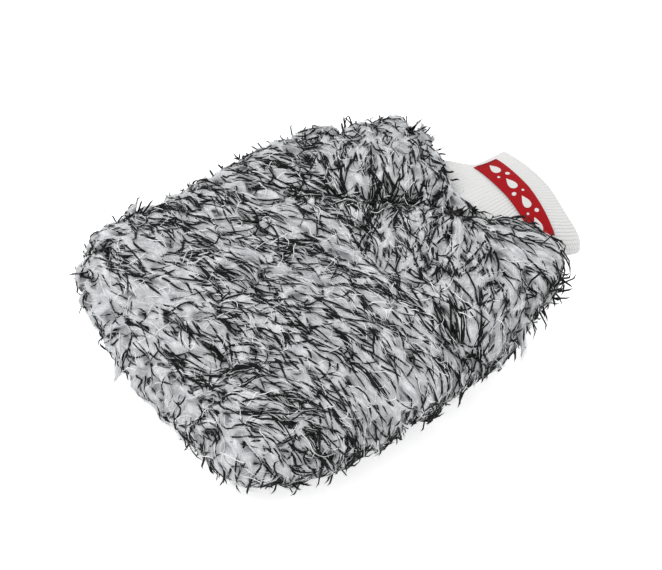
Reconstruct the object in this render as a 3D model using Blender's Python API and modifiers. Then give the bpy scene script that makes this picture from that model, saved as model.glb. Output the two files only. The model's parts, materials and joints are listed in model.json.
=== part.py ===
"""A plush car wash mitt: two pile-fabric panels sewn round a lined hand pocket, with a folded rib-knit cuff.

The mitt lies on its lower panel. +X runs from the finger end to the cuff mouth, +Y across the width and +Z up.
The origin is below the middle of the mitt, on the surface it rests on. All sizes are in metres.

The fabric panels are split across the knuckles, because cloth bends there and a solid doesn't. The three segments
are fingers, knuckles and palm. The rib cuff is split into an upper and a lower half, which part to let a hand in.
"""

import math

import bmesh
import bpy
from mathutils import Matrix, Vector

# Driving dimensions
TOTAL_LENGTH = 0.260
BODY_LENGTH = 0.228
BODY_WIDTH = 0.200
BODY_TOP = 0.056
SEAM_HEIGHT = 0.027
PILE_DEPTH = 0.020
CAVITY_HALF_HEIGHT = 0.0140
TAPER = 0.043
SIDE_SHIFT = 0.0020
LEAN = 0.005
PLAN_SQUARENESS = 3.4
EDGE_SQUARENESS = 4.0

# Fabric thicknesses and the gaps between pieces
LINING_THICKNESS = 0.0010
RIB_THICKNESS = 0.0013
ELASTIC_THICKNESS = 0.0006
LABEL_THICKNESS = 0.0005
GAP = 0.0004
PANEL_GAP = 0.0012
THREAD_RADIUS = 0.0008
FINE_THREAD_RADIUS = 0.00025

# Fold lines across the mitt, and how far each one folds
KNUCKLE_X = 0.012
FINGER_X = -0.046
FOLD_DEGREES = 40.0
WRIST_X = 0.080
WRIST_UP_DEGREES = 25.0
WRIST_DOWN_DEGREES = 8.0
MOUTH_OPEN_DEGREES = 25.0

# Rib cuff
CUFF_START_X = 0.082
WAIST_X = 0.110
ROOT_HALF_WIDTH = 0.048
WAIST_HALF_WIDTH = 0.0380
MOUTH_HALF_WIDTH = 0.0430
ROOT_HALF_HEIGHT = 0.0125
WAIST_HALF_HEIGHT = 0.0150
MOUTH_HALF_HEIGHT = 0.0102
CUFF_SQUARENESS = 2.3
POCKET_DEPTH = 0.0012
ELASTIC_WIDTH = 0.016
CORNER_DRAW = 0.0070
DRAW_POWER = 1.3
DRAW_FULL_X = 0.109

# Label on the upper half of the cuff
LABEL_START_X = 0.1015
LABEL_WIDTH = 0.0145
LABEL_ARC_DEGREES = 103.0
LABEL_CENTRE_DEGREES = 97.5

# Places worked out from the dimensions above
TIP_X = -TOTAL_LENGTH / 2
MOUTH_X = TOTAL_LENGTH / 2
BODY_CENTRE = Vector((TIP_X + BODY_LENGTH / 2, 0.0, SEAM_HEIGHT))
BODY_HALF = Vector((BODY_LENGTH / 2, BODY_WIDTH / 2, BODY_TOP - SEAM_HEIGHT))
SEAM_HALF = Vector((BODY_HALF.x - PILE_DEPTH, BODY_HALF.y - PILE_DEPTH, CAVITY_HALF_HEIGHT))
LINING_HALF = SEAM_HALF - Vector((GAP, GAP, GAP))
FOLD_SLIT = 0.0005
CUTTER_SIDE = 0.3
CUTTER_TOP = BODY_TOP + 0.004
NECK_RADIUS = 0.0155
NECK_HALF_WIDTH = 0.052
SEAM_LOOP_X = 0.0625
SEAM_LOOP_HALF_WIDTH = 0.050
SEAM_LOOP_HALF_HEIGHT = 0.0085


def signed_power(value, power):
    value = round(value, 6)
    return math.copysign(abs(value) ** power, value)


def clear_scene():
    for old in list(bpy.data.objects):
        bpy.data.objects.remove(old, do_unlink=True)


def new_collection(name):
    collection = bpy.data.collections.new(name)
    bpy.context.scene.collection.children.link(collection)
    return collection


def new_material(name, colour, roughness):
    material = bpy.data.materials.new(name)
    material.use_nodes = True
    shader = material.node_tree.nodes["Principled BSDF"]
    shader.inputs["Base Color"].default_value = (*colour, 1.0)
    shader.inputs["Roughness"].default_value = roughness
    shader.inputs["Metallic"].default_value = 0.0
    return material


def object_from_bmesh(name, bm, collection, material=None):
    mesh = bpy.data.meshes.new(name)
    bm.to_mesh(mesh)
    bm.free()
    made = bpy.data.objects.new(name, mesh)
    collection.objects.link(made)
    if material is not None:
        mesh.materials.append(material)
        mesh.shade_smooth()
    return made


def as_cutter(made):
    made.hide_render = True
    made.display_type = "WIRE"
    return made


def add_boolean(target, other, operation):
    modifier = target.modifiers.new(f"{operation.lower()} {other.name}", "BOOLEAN")
    modifier.operation = operation
    modifier.object = other
    modifier.solver = "EXACT"


def add_solidify(target, thickness, offset):
    modifier = target.modifiers.new("fabric thickness", "SOLIDIFY")
    modifier.thickness = thickness
    modifier.offset = offset
    modifier.use_even_offset = True


def superellipse(angle, squareness):
    """A point on a unit superellipse: a circle at squareness 2, and squarer above it."""
    power = 2.0 / squareness
    return signed_power(math.cos(angle), power), signed_power(math.sin(angle), power)


def tapered(x, y):
    """The mitt narrows a little from the fingers to the cuff, and its slack cloth leans to the +Y side."""
    share = (x - BODY_CENTRE.x) / BODY_HALF.x
    return y * (1.0 - TAPER * share) + SIDE_SHIFT + LEAN * share


def puffy_bmesh(half):
    """A rounded pillow about the body's centre, from a UV sphere pushed out to a tapered superellipsoid."""
    bm = bmesh.new()
    bmesh.ops.create_uvsphere(bm, u_segments=36, v_segments=14, radius=1.0)
    for vertex in bm.verts:
        around = math.atan2(vertex.co.y, vertex.co.x)
        lift = math.asin(max(-1.0, min(1.0, vertex.co.z)))
        reach, rise = superellipse(lift, EDGE_SQUARENESS)
        along, across = superellipse(around, PLAN_SQUARENESS)
        x = BODY_CENTRE.x + half.x * reach * along
        y = tapered(x, half.y * reach * across)
        vertex.co = (x, y, BODY_CENTRE.z + half.z * rise)
    return bm


def slanted_block(name, low_x, high_x, low_z, high_z, lean_low=0.0, lean_high=0.0):
    """A block right across the mitt, from low_x to high_x at seam height. Its two ends lean with height."""
    bm = bmesh.new()
    bmesh.ops.create_cube(bm, size=2.0)
    for vertex in bm.verts:
        z = high_z if vertex.co.z > 0 else low_z
        end, lean = (high_x, lean_high) if vertex.co.x > 0 else (low_x, lean_low)
        vertex.co = (end + lean * (z - SEAM_HEIGHT), vertex.co.y * CUTTER_SIDE, z)
    return as_cutter(object_from_bmesh(name, bm, cutters))


def segment_blocks():
    """For each segment, the blocks that keep its part of the upper and of the lower fabric."""
    lean = math.tan(math.radians(FOLD_DEGREES / 2 + 0.5))
    ends = {
        "fingers": (-CUTTER_SIDE, FINGER_X - FOLD_SLIT, 0.0, -lean),
        "knuckles": (FINGER_X + FOLD_SLIT, KNUCKLE_X - FOLD_SLIT, lean, -lean),
        "palm": (KNUCKLE_X + FOLD_SLIT, CUTTER_SIDE, lean, 0.0),
    }
    blocks = {}
    for segment, (low_x, high_x, lean_low, lean_high) in ends.items():
        for layer, gap in (("panel", PANEL_GAP), ("lining", GAP)):
            top = slanted_block(f"keep_top_{layer}_{segment}", low_x, high_x, SEAM_HEIGHT + gap, CUTTER_TOP,
                                lean_low, lean_high)
            bottom = slanted_block(f"keep_bottom_{layer}_{segment}", low_x, high_x, 0.0, SEAM_HEIGHT - gap)
            blocks["top", layer, segment] = top
            blocks["bottom", layer, segment] = bottom
    return blocks


def neck_fan():
    """The room that the cuff's end sweeps as it bends and opens: the hull of a drum at the wrist and two beyond."""
    bm = bmesh.new()
    wrist = Vector((WRIST_X, 0.0, SEAM_HEIGHT))
    reach = 0.10
    drum_centres = [wrist]
    for degrees in (WRIST_UP_DEGREES + MOUTH_OPEN_DEGREES, 0.0, -WRIST_DOWN_DEGREES):
        angle = math.radians(degrees)
        drum_centres.append(wrist + reach * Vector((math.cos(angle), 0.0, math.sin(angle))))
    for centre in drum_centres:
        placed = Matrix.Translation(centre) @ Matrix.Rotation(math.pi / 2, 4, "X")
        bmesh.ops.create_cone(bm, cap_ends=True, segments=24, radius1=NECK_RADIUS, radius2=NECK_RADIUS,
                              depth=2 * NECK_HALF_WIDTH, matrix=placed)
    hull = bmesh.ops.convex_hull(bm, input=bm.verts)
    bmesh.ops.delete(bm, geom=list({*hull["geom_interior"], *hull["geom_unused"]}), context="VERTS")
    bmesh.ops.dissolve_limit(bm, angle_limit=0.001, verts=bm.verts, edges=bm.edges)
    bmesh.ops.recalc_face_normals(bm, faces=bm.faces)
    return as_cutter(object_from_bmesh("neck_fan", bm, cutters))


def pile_panels(blocks, fan):
    """The plush fabric: a solid for its backing and standing pile, above and below the hand pocket."""
    pocket = as_cutter(object_from_bmesh("pocket", puffy_bmesh(SEAM_HALF), cutters))
    for (side, layer, segment), block in blocks.items():
        if layer != "panel":
            continue
        panel = object_from_bmesh(f"{side}_pile_panel_{segment}", puffy_bmesh(BODY_HALF), parts, plush)
        add_boolean(panel, block, "INTERSECT")
        add_boolean(panel, pocket, "DIFFERENCE")
        if segment == "palm":
            add_boolean(panel, fan, "DIFFERENCE")


def linings(blocks, fan):
    """The thin lining of the hand pocket, an open half shell above and another below."""
    for (side, layer, segment), block in blocks.items():
        if layer != "lining":
            continue
        bm = puffy_bmesh(LINING_HALF)
        up = 1.0 if side == "top" else -1.0
        bmesh.ops.bisect_plane(bm, geom=[*bm.verts, *bm.edges, *bm.faces], clear_inner=True, dist=1e-6,
                               plane_co=(0.0, 0.0, SEAM_HEIGHT), plane_no=(0.0, 0.0, up))
        lining = object_from_bmesh(f"{side}_lining_{segment}", bm, parts, lining_cloth)
        add_solidify(lining, LINING_THICKNESS, -1.0)
        add_boolean(lining, block, "INTERSECT")
        if segment == "palm":
            add_boolean(lining, fan, "DIFFERENCE")


def seam_point(angle):
    """A point on the seam that joins the two panels, just outside the lining."""
    along, across = superellipse(angle, PLAN_SQUARENESS)
    inset = 2 * THREAD_RADIUS
    x = BODY_CENTRE.x + (SEAM_HALF.x + inset) * along
    return Vector((x, tapered(x, (SEAM_HALF.y + inset) * across), SEAM_HEIGHT))


def thread(name, points, radius, material, closed=False):
    """A round thread along a run of points."""
    curve = bpy.data.curves.new(name, "CURVE")
    curve.dimensions = "3D"
    curve.bevel_depth = radius
    curve.bevel_resolution = 1
    curve.use_fill_caps = True
    spline = curve.splines.new("POLY")
    spline.points.add(len(points) - 1)
    for target, point in zip(spline.points, points, strict=True):
        target.co = (*point, 1.0)
    spline.use_cyclic_u = closed
    curve.materials.append(material)
    made = bpy.data.objects.new(name, curve)
    parts.objects.link(made)
    return made


def edge_seams():
    """The overlocked seam round the mitt, in one run for each stretch between fold lines."""
    steps = 240
    left_half, right_half = ([seam_point(side * math.pi * step / steps) for step in range(steps + 1)]
                             for side in (1.0, -1.0))
    stretches = {
        "palm": (KNUCKLE_X + FOLD_SLIT, WRIST_X - NECK_RADIUS / 2),
        "knuckles": (FINGER_X + FOLD_SLIT, KNUCKLE_X - FOLD_SLIT),
    }
    for segment, (low_x, high_x) in stretches.items():
        for side, half in (("left", left_half), ("right", right_half)):
            run = [point for point in half if low_x < point.x < high_x and abs(point.y) > SEAM_LOOP_HALF_WIDTH]
            thread(f"{side}_seam_{segment}", thinned(run), THREAD_RADIUS, seam_thread)
    left, right = ([point for point in half if point.x < FINGER_X - FOLD_SLIT] for half in (left_half, right_half))
    thread("finger_end_seam", thinned(left + right[-2::-1]), THREAD_RADIUS, seam_thread)


def thinned(points, spacing=0.007):
    """The first and last point of a run, and those between them that are about the spacing apart."""
    kept = [points[0]]
    for point in points[1:-1]:
        far_enough = (point - kept[-1]).length >= spacing
        if far_enough and (points[-1] - point).length >= spacing / 2:
            kept.append(point)
    return [*kept, points[-1]]


def cuff_seam():
    """The overlocked loop that joins the cuff to the panels."""
    points = []
    steps = 40
    for step in range(steps):
        across, up = superellipse(2 * math.pi * step / steps, CUFF_SQUARENESS)
        points.append(Vector((SEAM_LOOP_X, SEAM_LOOP_HALF_WIDTH * across, SEAM_HEIGHT + SEAM_LOOP_HALF_HEIGHT * up)))
    thread("cuff_seam", points, THREAD_RADIUS, seam_thread, closed=True)


def eased(start, end, share):
    """A smooth change from start to end as share goes from 0 to 1."""
    share = max(0.0, min(1.0, share))
    return start + (end - start) * share * share * (3.0 - 2.0 * share)


def cuff_half_size(x):
    """Half the cuff's outer width and height at x. It is gathered in at the elastic and flares to the mouth."""
    if x < WAIST_X:
        share = (x - CUFF_START_X) / (WAIST_X - CUFF_START_X)
        return eased(ROOT_HALF_WIDTH, WAIST_HALF_WIDTH, share), eased(ROOT_HALF_HEIGHT, WAIST_HALF_HEIGHT, share)
    share = (x - WAIST_X) / (MOUTH_X - WAIST_X)
    return eased(WAIST_HALF_WIDTH, MOUTH_HALF_WIDTH, share), eased(WAIST_HALF_HEIGHT, MOUTH_HALF_HEIGHT, share)


def cuff_point(x, angle, depth, up):
    """A point of the cuff's upper (up = 1) or lower (up = -1) half, at a depth below its outer surface.

    The cuff's right side is drawn back towards the palm, so its mouth is slanted.
    """
    half_width, half_height = cuff_half_size(x)
    across, rise = superellipse(angle, CUFF_SQUARENESS)
    y = (half_width - depth) * across
    drawn = eased(0.0, CORNER_DRAW, (x - CUFF_START_X) / (DRAW_FULL_X - CUFF_START_X))
    drawn *= max(0.0, -across) ** DRAW_POWER
    return Vector((x - drawn, y, SEAM_HEIGHT + up * (GAP + (half_height - depth) * rise)))


def sheet(name, columns, rows, place, thickness, material):
    """A sheet of fabric: a grid whose points are placed by place(u, v), u and v from 0 to 1, then thickened."""
    bm = bmesh.new()
    bmesh.ops.create_grid(bm, x_segments=columns, y_segments=rows, size=0.5)
    for vertex in bm.verts:
        vertex.co = place(vertex.co.x + 0.5, vertex.co.y + 0.5)
    made = object_from_bmesh(name, bm, parts, material)
    add_solidify(made, thickness, 0.0)
    return made


def folded_path(share):
    """(x, depth) along the rib fabric's middle: out along the outer layer, round the mouth, back along the inner."""
    outer_depth = RIB_THICKNESS / 2
    fold_radius = (RIB_THICKNESS + POCKET_DEPTH) / 2
    turn_x = MOUTH_X - RIB_THICKNESS / 2 - fold_radius
    straight = 0.4
    if share <= straight:
        return CUFF_START_X + (turn_x - CUFF_START_X) * share / straight, outer_depth
    if share >= 1.0 - straight:
        return CUFF_START_X + (turn_x - CUFF_START_X) * (1.0 - share) / straight, outer_depth + 2 * fold_radius
    angle = math.pi * (share - straight) / (1.0 - 2 * straight)
    return turn_x + fold_radius * math.sin(angle), outer_depth + fold_radius * (1.0 - math.cos(angle))


def rib_cuffs():
    """The rib-knit cuff, folded double at the mouth, with a pocket between its layers for the elastic."""
    for name, up in (("rib_cuff_upper", 1.0), ("rib_cuff_lower", -1.0)):
        def place(u, v, up=up):
            x, depth = folded_path(u)
            return cuff_point(x, math.pi * v, depth, up)
        sheet(name, 30, 18, place, RIB_THICKNESS, rib_knit)


def elastics():
    """The flat elastic band that gathers the cuff in at its waist."""
    depth = RIB_THICKNESS + POCKET_DEPTH / 2
    for name, up in (("elastic_band_upper", 1.0), ("elastic_band_lower", -1.0)):
        def place(u, v, up=up):
            return cuff_point(WAIST_X + ELASTIC_WIDTH * (u - 0.5), math.pi * v, depth, up)
        sheet(name, 6, 18, place, ELASTIC_THICKNESS, elastic)


def label_point(u, v, height):
    """A point of the label's face: u runs towards the mouth, v across, height is above the cuff's surface."""
    arc = math.radians(LABEL_ARC_DEGREES)
    angle = math.radians(LABEL_CENTRE_DEGREES) + arc * (v - 0.5)
    return cuff_point(LABEL_START_X + LABEL_WIDTH * u, angle, -height, 1.0)


def label():
    """The woven label on the cuff, and the row of stitches at each of its short ends."""
    middle = GAP + LABEL_THICKNESS / 2
    sheet("cuff_label", 6, 16, lambda u, v: label_point(u, v, middle), LABEL_THICKNESS, label_cloth)
    above = middle + LABEL_THICKNESS / 2 + GAP + FINE_THREAD_RADIUS
    for name, v in (("label_stitches_right", 0.97), ("label_stitches_left", 0.03)):
        points = [label_point(0.06 + 0.88 * step / 8, v, above) for step in range(9)]
        thread(name, points, FINE_THREAD_RADIUS, label_thread)


def hinge(name, x, parent=None):
    """An empty on a fold line, so that what hangs on it turns about that line."""
    made = bpy.data.objects.new(name, None)
    made.empty_display_size = 0.02
    parts.objects.link(made)
    made.location = (x, 0.0, SEAM_HEIGHT)
    if parent is not None:
        made.parent = parent
        made.location = made.location - Vector((parent["world_x"], 0.0, SEAM_HEIGHT))
    made["world_x"] = x
    return made


def hang_on_hinges():
    """Parents each moving piece to the empty on its fold line. The palm's pieces stay where they are."""
    knuckle_hinge = hinge("knuckle_hinge", KNUCKLE_X)
    finger_hinge = hinge("finger_hinge", FINGER_X, knuckle_hinge)
    wrist_hinge = hinge("wrist_hinge", WRIST_X)
    mouth_hinge = hinge("mouth_hinge", WRIST_X, wrist_hinge)
    upper_cuff = ("rib_cuff_upper", "elastic_band_upper", "cuff_label", "label_stitches")
    lower_cuff = ("rib_cuff_lower", "elastic_band_lower")
    for piece in parts.objects:
        if piece.type == "EMPTY" or piece.name.endswith("_palm"):
            continue
        if piece.name.endswith("_knuckles"):
            holder = knuckle_hinge
        elif piece.name.endswith("_fingers") or piece.name == "finger_end_seam":
            holder = finger_hinge
        elif piece.name.startswith(upper_cuff):
            holder = mouth_hinge
        elif piece.name.startswith(lower_cuff):
            holder = wrist_hinge
        else:
            continue
        piece.parent = holder
        piece.matrix_parent_inverse = Matrix.Translation((-holder["world_x"], 0.0, -SEAM_HEIGHT))


clear_scene()
parts = new_collection("wash_mitt")
cutters = new_collection("cutters")
cutters.hide_render = True
plush = new_material("plush", (0.60, 0.61, 0.63), 0.95)
lining_cloth = new_material("lining", (0.78, 0.78, 0.76), 0.90)
rib_knit = new_material("rib_knit", (0.86, 0.86, 0.84), 0.90)
elastic = new_material("elastic", (0.80, 0.80, 0.78), 0.70)
label_cloth = new_material("label", (0.50, 0.02, 0.03), 0.70)
seam_thread = new_material("seam_thread", (0.80, 0.80, 0.79), 0.80)
label_thread = new_material("label_thread", (0.42, 0.02, 0.03), 0.70)

keep_blocks = segment_blocks()
neck = neck_fan()
pile_panels(keep_blocks, neck)
linings(keep_blocks, neck)
edge_seams()
cuff_seam()
rib_cuffs()
elastics()
label()
hang_on_hinges()
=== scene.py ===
"""Looks for the plush wash mitt: pile, rib-knit cuff, label, lining and seams, in a plain white studio."""

import json
import math

import bmesh
import bpy
import numpy as np
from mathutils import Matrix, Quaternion, Vector, kdtree, noise
from mathutils.bvhtree import BVHTree


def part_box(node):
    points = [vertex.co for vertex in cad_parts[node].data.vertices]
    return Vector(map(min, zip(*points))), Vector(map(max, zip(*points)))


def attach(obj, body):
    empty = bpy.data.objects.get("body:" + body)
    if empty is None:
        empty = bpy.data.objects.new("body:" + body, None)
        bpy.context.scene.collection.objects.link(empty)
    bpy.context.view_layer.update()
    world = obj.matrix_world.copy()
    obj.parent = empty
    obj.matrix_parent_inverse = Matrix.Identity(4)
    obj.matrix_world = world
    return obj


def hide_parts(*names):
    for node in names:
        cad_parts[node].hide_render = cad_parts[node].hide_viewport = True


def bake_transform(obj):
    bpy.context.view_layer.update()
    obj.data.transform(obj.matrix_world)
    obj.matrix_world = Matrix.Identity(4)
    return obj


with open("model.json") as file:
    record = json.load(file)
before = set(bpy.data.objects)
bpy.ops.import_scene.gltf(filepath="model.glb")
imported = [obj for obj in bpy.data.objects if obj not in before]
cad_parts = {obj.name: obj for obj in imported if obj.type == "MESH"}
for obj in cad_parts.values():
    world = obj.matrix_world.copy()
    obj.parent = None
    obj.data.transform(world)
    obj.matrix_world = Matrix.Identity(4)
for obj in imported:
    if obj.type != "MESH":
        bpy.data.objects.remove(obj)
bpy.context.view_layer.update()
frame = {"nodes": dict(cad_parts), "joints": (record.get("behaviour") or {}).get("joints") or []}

SEED = 7
PALM_NODES = ("top_pile_panel_palm", "bottom_pile_panel_palm")
KNUCKLE_NODES = ("top_pile_panel_knuckles", "bottom_pile_panel_knuckles")
FINGER_NODES = ("top_pile_panel_fingers", "bottom_pile_panel_fingers")
CUFF_NODES = ("rib_cuff_upper", "rib_cuff_lower")

# Lengths are in metres, and x runs from the fingers to the cuff.

# The pile's backing: its depth below the outside of the mitt, its lowest height and its slack
TOP_DEPTH = 0.0085
RIM_DEPTH = 0.0085
LOWEST_BACKING = 0.0045
NECK_BULGE = 0.003
LENGTH_SLACK = 0.001
WIDTH_SLACK = 0.0035
LINING_DEPTH = 0.0012

# The mitt's puffed outline
PLAN_SQUARENESS = 4.0
EDGE_SQUARENESS = 3.2
TAPER = 0.043
LEAN = 0.005

# The cloth simulation. The cloth is held near the wrist and near the floor.
CLOTH_VOXEL = 0.0050
CLOTH_FRAMES = 20
CLOTH_CAP = 0.0060
CLOTH_PRESSURE = 3.0
CLOTH_SLACK = 0.035
FREE_BEFORE_WRIST, HELD_PAST_WRIST = 0.008, 0.004
FREE_HEIGHT, HELD_HEIGHT = 0.010, 0.006

# Small lumps all over: how fine they are, the start of their pattern and how high they stand
LUMPS = (
    (22.0, Vector((3.1, 0.0, 0.0)), 0.0036),
    (60.0, Vector((0.0, 5.2, 0.0)), 0.0020),
    (170.0, Vector((0.0, 0.0, 0.0)), 0.0006),
)
# Where the slack cloth swells or sinks: each swelling's middle, how far it reaches and how high it stands
SWELLINGS = (
    (Vector((0.090, -0.049, 0.038)), 0.024, 0.0150),
    (Vector((0.090, 0.078, 0.038)), 0.016, 0.0140),
    (Vector((0.008, 0.094, 0.035)), 0.034, 0.0030),
    (Vector((-0.055, 0.096, 0.030)), 0.020, -0.0035),
    (Vector((0.094, 0.084, 0.036)), 0.014, 0.0060),
    (Vector((-0.108, 0.088, 0.032)), 0.024, 0.0045),
    (Vector((-0.100, -0.075, 0.025)), 0.025, 0.0030),
    (Vector((0.078, -0.092, 0.014)), 0.032, -0.0150),
    (Vector((0.088, -0.074, 0.024)), 0.020, -0.0050),
    (Vector((-0.028, -0.098, 0.018)), 0.018, 0.0060),
    (Vector((0.016, -0.098, 0.018)), 0.022, -0.0025),
)
# The crease across the top: its ends, width and depth, and the share of its depth that it starts with
CREASE_START = Vector((-0.005, 0.052, 0.0))
CREASE_END = Vector((0.085, -0.004, 0.0))
CREASE_WIDTH = 0.0110
CREASE_DEPTH = 0.0130
CREASE_SHALLOW = 0.35

# The way the pile is combed: turns from +x in degrees, then what is added to it in places
SWEEP_AT_CUFF, SWEEP_AT_FINGERS = -130.0, -74.0
SWEEP_CHANGES = (-0.055, 0.005)
RIM_OUTWARDS, RIM_SWEEP = 0.35, 0.45
RIM_FALL, FAR_RIM_RISE, CUFF_RIM_RISE = -0.30, 0.6, 1.3
NEAR_RIM_LEAN = np.array([-0.6, 0.0, -0.5])
NECK_LEAN = np.array([1.6, -0.3, -0.2])
NECK_REACH = 0.025
NECK_EDGE, NECK_MIDDLE = 0.07, 0.05
FAR_NECK_SHARE, NEAR_NECK_Y = 0.15, 0.03
BROAD_WANDER, FINE_WANDER, RIM_WANDER = 0.45, 0.20, 1.0
RIM_STRAY = 2.2
# Patterns for swirl, as fineness and offset
BROAD_SWIRL, FINE_SWIRL, CLUMP_SWIRL = (26.0, 9.0), (75.0, 4.0), (55.0, 13.0)
# Parts of a unit normal between which a surface starts to count as facing a way, and does so fully
RIM_FACING, SIDE_FACING, NEAR_FACING = (-0.85, -0.35), (0.1, 0.6), (0.2, 0.8)

# Tufts of pale fibre, which melt together into the plush, and the loose fibres on them
TUFT_SPACING = 0.0042
TUFT_LENGTH = 0.0180
TUFT_RADIUS = 0.0034
TUFT_HEIGHT = 0.0046
TUFT_SINK = 0.0010
TUFT_STAND = 0.0014
TUFT_FLATNESS = 0.72
TUFT_BEND, TUFT_MOST_BEND, TUFT_WAVE = 0.5, 1.1, 0.08
TUFT_STRAY = 0.2
TUFT_STEPS, TUFT_CORNERS = 7, 8
FLUFF_VOXEL = 0.0011
FLUFF_SMOOTHING = 2
FIBRES_PER_TUFT = 20
FIBRE_WIDTH, FIBRE_TAPER = 0.00024, 0.55
FIBRE_LIFT, RAISED_FIBRE_LIFT = 0.00020, 0.0009
RAISED_FIBRES = 0.35
FIBRE_STRAY = 0.0010
FIBRE_SLIP = 0.002

# Coarse black fibres, in clumps
BLACK_SPACING = 0.0046
BLACK_RADIUS = 0.00060
BLACK_LENGTHS = (0.012, 0.024)
BLACK_STEPS, BLACK_CORNERS = 7, 4
BLACK_ROOT_DIP = 0.0030
BLACK_LEVEL, LEVEL_SPREAD, LEVEL_LIMITS = 0.0002, 0.0005, (-0.0010, 0.0014)
BLACK_STRAY, BLACK_WAVE = 0.16, 0.07
CURLY_SHARE, RIM_CURLY_SHARE = 0.08, 0.55
CURLY_BEND, STRAIGHT_BEND = 1.7, 0.35
CLUMP_SIZES = (1, 2, 3, 4, 6)
CLUMP_SHARES = (0.27, 0.26, 0.22, 0.16, 0.09)
CLUMP_GROWTH = 1.1
CLUSTERING = 1.1
# Extra fibres for each clump in the crease: partly its denser strands, partly dark fibre put there as
# painted shade
CREASE_CLUMP_AND_SHADE_EXTRA = 4
WEDGE_SPREAD, BUNDLE_SPREAD, CLUMP_LENGTH = 0.0022, 0.0006, 0.002
BUNDLE_TURN = 0.17
TIP_LEVEL, TIP_SPREAD = -0.0002, 0.0012
TIP_LIFT, RIM_TIP_LIFT, CUFF_RIM_TIP_LIFT = 0.0006, 0.0016, 0.0014
LOOSE_START, LOOSE_FULL = 0.022, 0.008
CHARCOAL_SHARE = 0.3

# Bright, curly white fibres
WHITE_SPACING = 0.0056
WHITE_RADIUS = 0.00026
WHITE_LENGTHS = (0.006, 0.015)
WHITE_STEPS, WHITE_CORNERS = 8, 3
WHITE_ROOT_DIP = 0.0025
WHITE_TIP_LIFT = 0.0010
WHITE_LEVEL, WHITE_LEVEL_SPREAD, WHITE_LEVEL_LIMITS = 0.0006, 0.0007, (-0.0005, 0.0025)
WHITE_STRAY, WHITE_WAVE = 0.7, 0.35

# Limits for all strands, and how pieces of pile are cut up
RIM_SHORTER = 0.25
LOWEST_STRAND = -0.0004
FLOOR_CLEARANCE = 0.0006
PRESSED_HEIGHT = 0.0002
HIGHEST = 0.0660
TUFT_REACH = 0.014
MOST_FACES = 90000

# The cuff's shape. Its near corner is drawn back, and its far side flares where the palm takes hold of it.
RIB_PITCH = 0.0023
RIB_HEIGHT = 0.00055
RIB_PROFILE = (1.0, 0.45, 0.1, 0.0, 0.0, 0.0, 0.1, 0.45)
CUFF_SQUARENESS = 2.3
CUFF_FOLD = 0.0038
CUFF_TUCK = 0.004
CUFF_SHORT = 0.0012
ROOT_FLARE = 0.0090
ROOT_FLARE_START, ROOT_FLARE_END = 0.094, 0.107
MOUTH_SHIFT = 0.0018
MOUTH_SHIFT_START, MOUTH_SHIFT_END = 0.112, 0.128
MOUTH_WAVE = 0.0005
CORNER_DRAW = 0.0070
DRAW_POWER = 1.3
DRAW_FULL_X = 0.109
RING_COUNT = 12
RING_INSET, RING_END_INSET = 0.0003, 0.0022
PARTING_GAP = 0.0005
OUTER_ROWS, FOLD_ROWS, INNER_ROWS = 26, 10, 20
GIRTH_SAMPLES, RUN_SAMPLES = 361, 4001
MOUTH_WAVES = 5
# A distance beyond the mitt, from which its surfaces are measured
FAR_OFF = 0.2

# How the pile keeps clear of the cuff: the shells' margin, and where folds are held up in front of the cuff
NECK_MARGIN = 0.0008
HELD_UP_START, HELD_UP_END = 0.038, 0.012

# The label's motifs: kind, place along the label, shift across it and size
MOTIFS = (
    ("drop", 0.14, 0.0, 0.0046),
    ("drop", 0.38, 0.0, 0.0046),
    ("drop", 0.62, 0.0, 0.0046),
    ("drop", 0.86, 0.0, 0.0046),
    ("bubble", 0.26, 0.0032, 0.0013),
    ("bubble", 0.50, -0.0032, 0.0013),
    ("bubble", 0.74, 0.0032, 0.0013),
    ("bubble", 0.26, -0.0026, 0.0008),
    ("bubble", 0.50, 0.0026, 0.0008),
    ("bubble", 0.74, -0.0026, 0.0008),
)
MOTIF_HEIGHT = 0.00018
MOTIF_EDGE_HEIGHT = 0.00002
MOTIF_TURNS, MOTIF_RINGS = 28, 4
LABEL_END = 0.002

CAMERA_AZIMUTH, CAMERA_ELEVATION = -32.4, 44.6
CAMERA_DISTANCE = 1.69
CAMERA_TARGET = Vector((-0.0025, 0.0106, 0.02))
CAMERA_LENS = 172.8


def rng(name):
    """A random generator that depends only on the name of what it is for."""
    return np.random.default_rng([SEED, *name.encode()])


def box_of(nodes):
    """The lowest and highest corner of a box round some CAD nodes."""
    corners = [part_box(node) for node in nodes]
    low = Vector([min(corner[0][axis] for corner in corners) for axis in range(3)])
    high = Vector([max(corner[1][axis] for corner in corners) for axis in range(3)])
    return low, high


pile_low, pile_high = box_of(PALM_NODES + KNUCKLE_NODES + FINGER_NODES)
pile_high.x += NECK_BULGE
pile_centre = (pile_low + pile_high) / 2
pile_half = (pile_high - pile_low) / 2
joints = {joint["name"]: joint for joint in frame["joints"]}
knuckle_x = joints["knuckle_bend"]["pos_m"][0]
finger_x = joints["finger_bend"]["pos_m"][0]
wrist = Vector(joints["wrist_bend"]["pos_m"])
seam_z = wrist.z
# The visual pile is parted in the middle of the knuckles. Each side is listed with the two bodies and the
# fold between them.
parting_x = (knuckle_x + finger_x) / 2
FOLDS = {"fingers": ("fingers", "knuckles", finger_x), "palm": ("knuckles", "palm", knuckle_x)}


# ---------------------------------------------------------------- materials

def material(name, colour, roughness, **inputs):
    """A Principled material. Extra inputs are given by name, with _ for a space."""
    made = bpy.data.materials.new(name)
    made.use_nodes = True
    shader = made.node_tree.nodes["Principled BSDF"]
    shader.inputs["Base Color"].default_value = (*colour, 1.0)
    shader.inputs["Roughness"].default_value = roughness
    for key, value in inputs.items():
        shader.inputs[key.replace("_", " ")].default_value = value
    return made


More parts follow.
